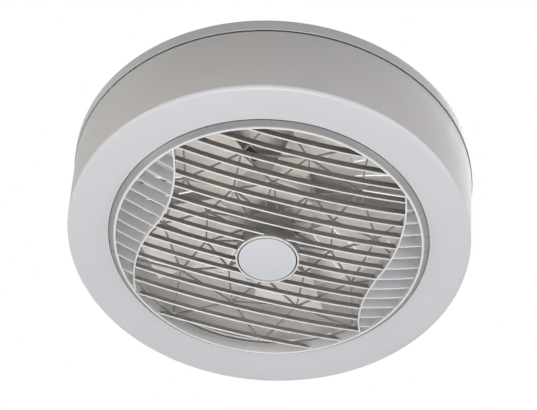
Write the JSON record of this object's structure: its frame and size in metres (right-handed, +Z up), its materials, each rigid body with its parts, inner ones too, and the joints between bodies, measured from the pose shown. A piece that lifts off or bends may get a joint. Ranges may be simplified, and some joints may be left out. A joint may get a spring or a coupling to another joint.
{
  "type": "ceiling fan",
  "caption": "Low round ceiling fan with a ring light and a turning louvre grille over an enclosed impeller.",
  "frame": {"origin": "centre of the ceiling bracket's top face, which lies on the ceiling", "axes": "+Z up along the fan's axis, away from the room; +X along the bracket's slots"},
  "size_m": [0.5523, 0.5524, 0.21],
  "materials": {
    "white_paint": "satin white",
    "white_shell": "satin white",
    "white_grille": "satin white",
    "opal_plastic": "opal white diffuser",
    "grey_plastic": "satin light grey",
    "black_plastic": "moulded black",
    "zinc_steel": "zinc plated",
    "rubber_bush": "moulded",
    "magnet_grey": "sintered",
    "lamination": "stacked sheet",
    "copper_wire": "enamelled copper",
    "board_white": "white solder mask",
    "chip_yellow": "phosphor",
    "lead_grey": "sheathed cable"
  },
  "bodies": {
    "housing": {"ceiling_bracket": "zinc_steel", "canopy": "white_paint", "canopy_screws": "zinc_steel", "plate_screws": "zinc_steel", "top_pan": "white_paint", "shell_screws": "zinc_steel", "drum_shell": "white_shell", "light_ring": "opal_plastic", "air_duct": "white_shell", "finger_guard": "grey_plastic", "guard_screws": "zinc_steel", "louvre_motor": "zinc_steel", "motor_isolators": "rubber_bush", "isolator_screws": "zinc_steel", "motor_mount": "zinc_steel", "motor_shaft": "zinc_steel", "shaft_nut": "zinc_steel", "stator_core": "lamination", "stator_coils": "copper_wire", "led_tray": "white_paint", "led_bars": "board_white", "led_chips": "chip_yellow", "light_clips": "zinc_steel", "led_driver": "black_plastic", "receiver_box": "black_plastic", "terminal_block": "black_plastic", "light_lead": "lead_grey"},
    "impeller": {"motor_bearings": "zinc_steel", "rotor_can": "zinc_steel", "rotor_lid": "zinc_steel", "rotor_magnets": "magnet_grey", "impeller": "grey_plastic", "impeller_screws": "zinc_steel"},
    "louvre": {"louvre_shaft": "zinc_steel", "louvre_nut": "zinc_steel", "louvre_grille": "white_grille", "centre_cap": "grey_plastic"}
  },
  "joints": [
    {"name": "impeller_spin", "type": "hinge", "parent": "housing", "child": "impeller", "pos_m": [0, 0, -0.088], "axis": [0, 0, 1], "continuous": true},
    {"name": "louvre_spin", "type": "hinge", "parent": "housing", "child": "louvre", "pos_m": [0, 0, -0.19], "axis": [0, 0, 1], "continuous": true}
  ]
}
